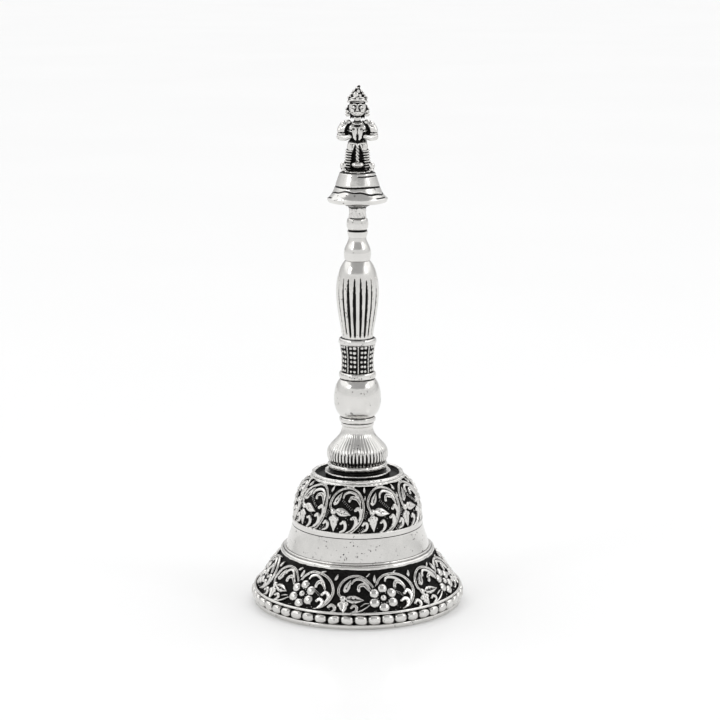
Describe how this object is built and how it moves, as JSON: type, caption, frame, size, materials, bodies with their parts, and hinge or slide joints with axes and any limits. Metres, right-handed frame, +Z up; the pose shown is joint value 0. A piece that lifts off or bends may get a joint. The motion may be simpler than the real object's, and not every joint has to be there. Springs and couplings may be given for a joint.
{
  "type": "hand bell",
  "caption": "Prayer hand bell: flared cup with scrolled bands and a beaded rim, a tall turned handle, a small praying figure on a bell-shaped plinth, and a clapper that swings.",
  "frame": {"origin": "centre of the mouth, on the plane that the lip stands on", "axes": "+Z up along the bell's axis, the figure faces -Y, +X is to the right as seen from the front"},
  "size_m": [0.0683, 0.0684, 0.165],
  "materials": {
    "cup": "silver plated and blackened in the recesses, polished on the raised parts",
    "trim": "silver plated wire and plates, polished, blackened in the recesses",
    "handle": "silver plated, mirror polished, blackened in the grooves",
    "figure": "silver plated casting, soft polish, blackened in the recesses",
    "oxidised": "silver plated and heavily blackened",
    "rod": "turned steel",
    "clapper_wire": "drawn steel wire, dulled",
    "clapper_ball": "silver plated, scuffed where it strikes"
  },
  "bodies": {
    "bell": {"bell_cup": "cup", "crown_ring": "trim", "waist_ring": "trim", "rim_wire": "trim", "bead_rim": "trim", "crown_disc": "oxidised", "handle_seat": "trim", "fluted_foot": "handle", "bulb_base_ring": "handle", "round_bulb": "handle", "lower_collar": "handle", "lattice_sleeve": "handle", "upper_collar": "handle", "fluted_baluster": "handle", "pear_bulb": "handle", "grooved_knop": "handle", "neck_sleeve": "handle", "plinth_dish": "oxidised", "figure_plinth": "figure", "praying_figure": "figure", "tie_rod": "rod", "crown_nut": "rod"},
    "hanger": {"hanger_eye": "clapper_wire"},
    "clapper": {"clapper_rod": "clapper_wire", "clapper_ball": "clapper_ball", "clapper_tip": "clapper_wire"}
  },
  "joints": [
    {"name": "hanger_turn", "type": "hinge", "parent": "bell", "child": "hanger", "pos_m": [0, 0, 0.03769], "axis": [0, 0, 1], "continuous": true},
    {"name": "clapper_swing", "type": "hinge", "parent": "hanger", "child": "clapper", "pos_m": [0, 0, 0.03364], "axis": [1, 0, 0], "range_deg": [-40.4, 40.4]}
  ]
}
